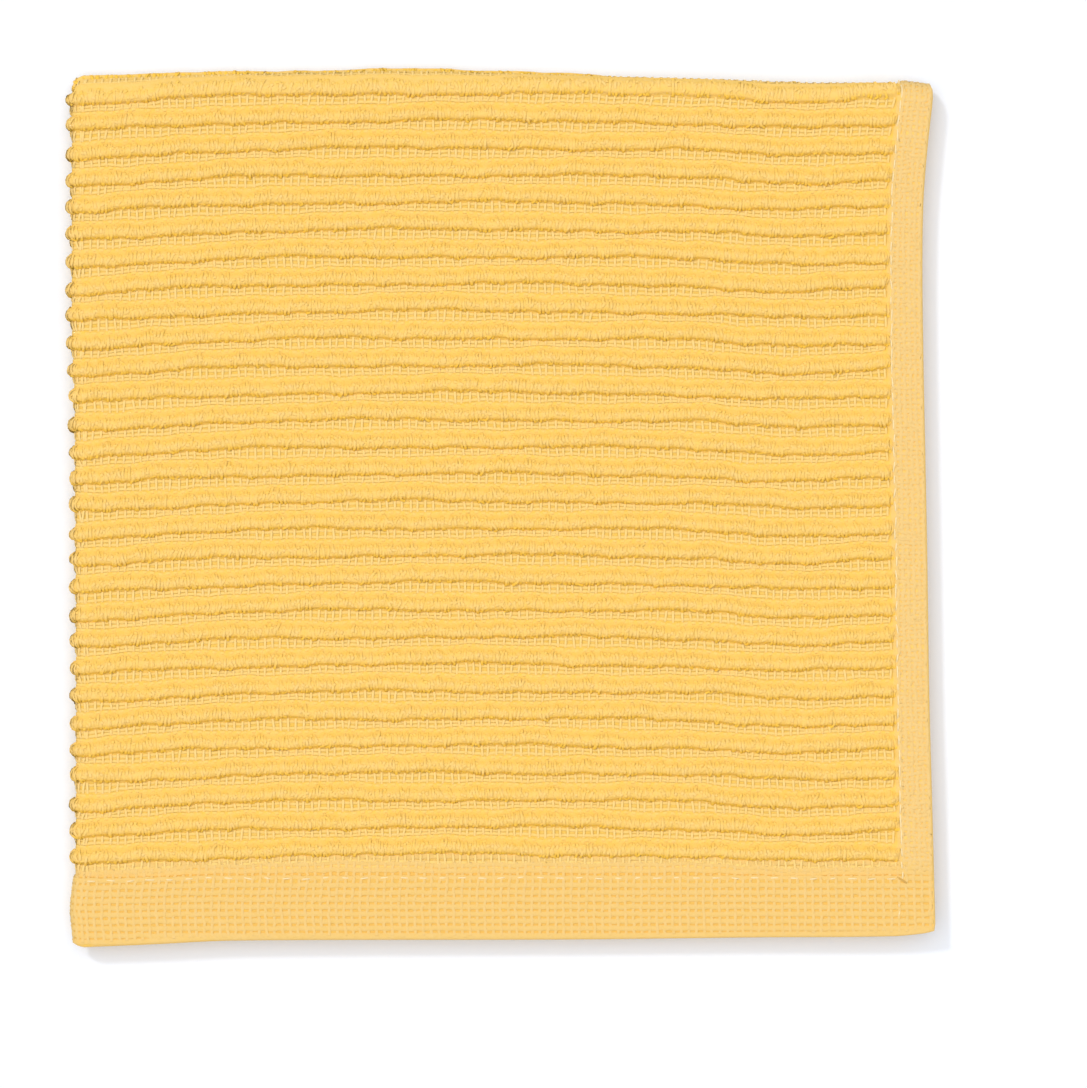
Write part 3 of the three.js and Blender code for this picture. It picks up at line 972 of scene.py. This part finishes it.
def build_stitches(material, random):
    """The sewing thread along the end hems and along the side hem of layers A and D."""
    side = LEAF_WIDTH - SIDE_HEM_WIDTH
    parts = []
    for hem, way in ((NEAR_HEM, 1), (FAR_HEM, -1)):
        starts = np.arange(FIRST_STITCH, side, STITCH_PITCH)
        parts.append(stitch_row(starts, STITCH_LENGTH, STITCH_RADIUS,
                                lambda run, offset: (run, hem + way * hem_rise(run) + offset), random))
    starts = np.arange(SIDE_STITCH_START, FAR_HEM, SIDE_STITCH_PITCH)
    parts.append(stitch_row(starts, SIDE_STITCH_LENGTH, STITCH_RADIUS,
                            lambda run, offset: (side + offset + 0 * run, run), random))
    aside = side + CORNER_STITCH_SHIFT
    parts.append(stitch_row(np.array(CORNER_STITCHES), CORNER_STITCH_LENGTH, CORNER_STITCH_RADIUS,
                            lambda run, offset: (aside + offset + 0 * run, run), random))
    return yarn_object("hem_stitches", joined(parts), material)


# Materials


COTTON_ROUGHNESS = 1.0
COTTON_SHEEN = 0.05
# How much the dye's unevenness changes a yarn's depth, and the fineness of its pattern
DYE_VARIATION = 0.35
DYE_SCALE = 900.0
# How finely the fibres roughen yarn and sewing thread, how strongly, and how deep in metres
YARN_FIBRES = 3000.0
THREAD_FIBRES = 4000.0
FIBRE_STRENGTH = 0.6
FIBRE_DEPTH = 0.0002
# Depths at which the yarn has its open, full, crevice and hidden colours; all but the open one are painted
# shade
COLOUR_DEPTHS = (0.0, 0.5, 0.67, 0.82)
# Open, full, crevice and hidden colours of the yarns. The full, crevice and hidden colours are
# painted shade: fuller and darker, they stand for the shade and warm bounced light deep in the cloth
COLOURS = {
    "pile_cotton": [(0.922, 0.64, 0.262), (0.94, 0.578, 0.098), (0.97, 0.60, 0.075), (0.80, 0.50, 0.125)],
    "ground_cotton": [(0.935, 0.655, 0.25), (0.93, 0.585, 0.10), (0.80, 0.48, 0.08), (0.80, 0.48, 0.08)],
    "hem_cotton": [(0.84, 0.592, 0.255), (0.84, 0.54, 0.145), (0.80, 0.50, 0.12), (0.62, 0.37, 0.10)],
    "sewing_thread": [(0.93, 0.73, 0.40), (0.88, 0.66, 0.28), (0.80, 0.55, 0.20), (0.80, 0.55, 0.20)],
}


def cotton(name, fibre_scale):
    """Matt cotton yarn with painted shade, fuller and darker in colour deep in the cloth, with uneven dye
    and a fibrous surface.
    """
    material = bpy.data.materials.new(name)
    material.use_nodes = True
    nodes, links = material.node_tree.nodes, material.node_tree.links
    shader = nodes["Principled BSDF"]
    shader.inputs["Roughness"].default_value = COTTON_ROUGHNESS
    shader.inputs["Specular IOR Level"].default_value = COTTON_SHEEN
    place = nodes.new("ShaderNodeTexCoord")
    dye = nodes.new("ShaderNodeTexNoise")
    dye.inputs["Scale"].default_value = DYE_SCALE
    dye.inputs["Detail"].default_value = 3.0
    links.new(place.outputs["Object"], dye.inputs["Vector"])
    # Painted shade: the shade value of each point, with the dye's unevenness added, picks from the ramp a
    # fuller, darker colour deep in the cloth
    depth = nodes.new("ShaderNodeAttribute")
    depth.attribute_name = "depth"
    tone = nodes.new("ShaderNodeMath")
    tone.operation = "MULTIPLY_ADD"
    tone.inputs[1].default_value = DYE_VARIATION
    links.new(dye.outputs["Fac"], tone.inputs[0])
    links.new(depth.outputs["Fac"], tone.inputs[2])
    ramp = nodes.new("ShaderNodeValToRGB")
    # A new ramp has stops at 0 and 1. Two more go between them, and the loop places all four
    ramp.color_ramp.elements.new(0.4)
    ramp.color_ramp.elements.new(0.6)
    for element, depth_there, colour in zip(ramp.color_ramp.elements, COLOUR_DEPTHS, COLOURS[name]):
        element.position = depth_there + 0.5 * DYE_VARIATION
        element.color = (*colour, 1)
    links.new(tone.outputs["Value"], ramp.inputs["Fac"])
    links.new(ramp.outputs["Color"], shader.inputs["Base Color"])
    fibre = nodes.new("ShaderNodeTexNoise")
    fibre.inputs["Scale"].default_value = fibre_scale
    fibre.inputs["Detail"].default_value = 2.0
    links.new(place.outputs["Object"], fibre.inputs["Vector"])
    bump = nodes.new("ShaderNodeBump")
    bump.inputs["Strength"].default_value = FIBRE_STRENGTH
    bump.inputs["Distance"].default_value = FIBRE_DEPTH
    links.new(fibre.outputs["Fac"], bump.inputs["Height"])
    links.new(bump.outputs["Normal"], shader.inputs["Normal"])
    return material


# Floor, light and camera


# The photograph in pixels: its size, its scale, and the middle of the cloth in it
IMAGE_SIZE = (1087, 1088)
PIXELS_PER_MM = 5.3
CLOTH_MIDDLE = (500.0, 507.5)
# A long lens from far away, as the photograph shows no sides. The scale holds at the cloth's top
LENS = 250.0
SENSOR = 36.0
CLOTH_TOP = 8.5
WORLD_STRENGTH = 0.55
# Name, strength, spread in degrees, and tilt towards the back and the left in degrees
LAMPS = [("overhead", 1.42, 50.0, 3.0), ("key", 0.65, 6.0, 23.0)]
# A cool white, against the warm light that comes off the cloth
FLOOR_WHITE = (0.855, 0.90, 0.985)
# Half the floor's width, and how far it lies below the cloth, in metres
FLOOR_HALF = 1.5
FLOOR_DROP = 0.0002


def build_floor():
    """A wide white floor just under the cloth."""
    mesh = bpy.data.meshes.new("floor")
    turns = [(-1, -1), (1, -1), (1, 1), (-1, 1)]
    mesh.from_pydata([(x * FLOOR_HALF, y * FLOOR_HALF, 0) for x, y in turns], [], [(0, 1, 2, 3)])
    floor = bpy.data.objects.new("floor", mesh)
    bpy.context.scene.collection.objects.link(floor)
    floor.location.z = -FLOOR_DROP
    material = bpy.data.materials.new("floor_white")
    material.use_nodes = True
    shader = material.node_tree.nodes["Principled BSDF"]
    shader.inputs["Base Color"].default_value = (*FLOOR_WHITE, 1)
    shader.inputs["Roughness"].default_value = 0.9
    mesh.materials.append(material)


def build_light():
    """An even white surrounding, a broad lamp overhead and a smaller one that casts the shadow."""
    world = bpy.data.worlds.new("studio")
    bpy.context.scene.world = world
    world.use_nodes = True
    background = world.node_tree.nodes["Background"]
    background.inputs["Color"].default_value = (1.0, 1.0, 1.0, 1)
    background.inputs["Strength"].default_value = WORLD_STRENGTH
    for name, strength, spread, tilt in LAMPS:
        sun = bpy.data.lights.new(name, "SUN")
        sun.energy = strength
        sun.angle = math.radians(spread)
        lamp = bpy.data.objects.new(name, sun)
        bpy.context.scene.collection.objects.link(lamp)
        lamp.rotation_euler = (math.radians(-tilt), math.radians(-tilt), 0)
    bpy.context.scene.view_settings.view_transform = "Standard"


def build_camera():
    """Straight above, with the photograph's frame around the cloth."""
    camera = bpy.data.cameras.new("camera")
    camera.lens = LENS
    camera.sensor_width = SENSOR
    camera.sensor_fit = "HORIZONTAL"
    camera.clip_start = 0.01
    camera.clip_end = 20
    frame_width = IMAGE_SIZE[0] / PIXELS_PER_MM
    distance = frame_width * LENS / SENSOR
    x = (IMAGE_SIZE[0] / 2 - CLOTH_MIDDLE[0]) / PIXELS_PER_MM
    y = (CLOTH_MIDDLE[1] - IMAGE_SIZE[1] / 2) / PIXELS_PER_MM
    obj = bpy.data.objects.new("camera", camera)
    bpy.context.scene.collection.objects.link(obj)
    obj.location = (x * MM, y * MM, (CLOTH_TOP + distance) * MM)
    bpy.context.scene.camera = obj


build_camera()
random = np.random.default_rng(SEED)
yarn = cotton("pile_cotton", YARN_FIBRES)
ground_yarn = cotton("ground_cotton", YARN_FIBRES)
hem_yarn = cotton("hem_cotton", YARN_FIBRES)
thread = cotton("sewing_thread", THREAD_FIBRES)

sheet = build_sheet(yarn)
pile = build_pile(yarn, random)
weave = build_weave(ground_yarn, random)
hem_weave = build_hem_weave(hem_yarn, random)
stitches = build_stitches(thread, random)
extras = [*pile, *weave, hem_weave, stitches]
for piece in [sheet, *extras]:
    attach(piece, "root")
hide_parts("cloth")

build_floor()
build_light()
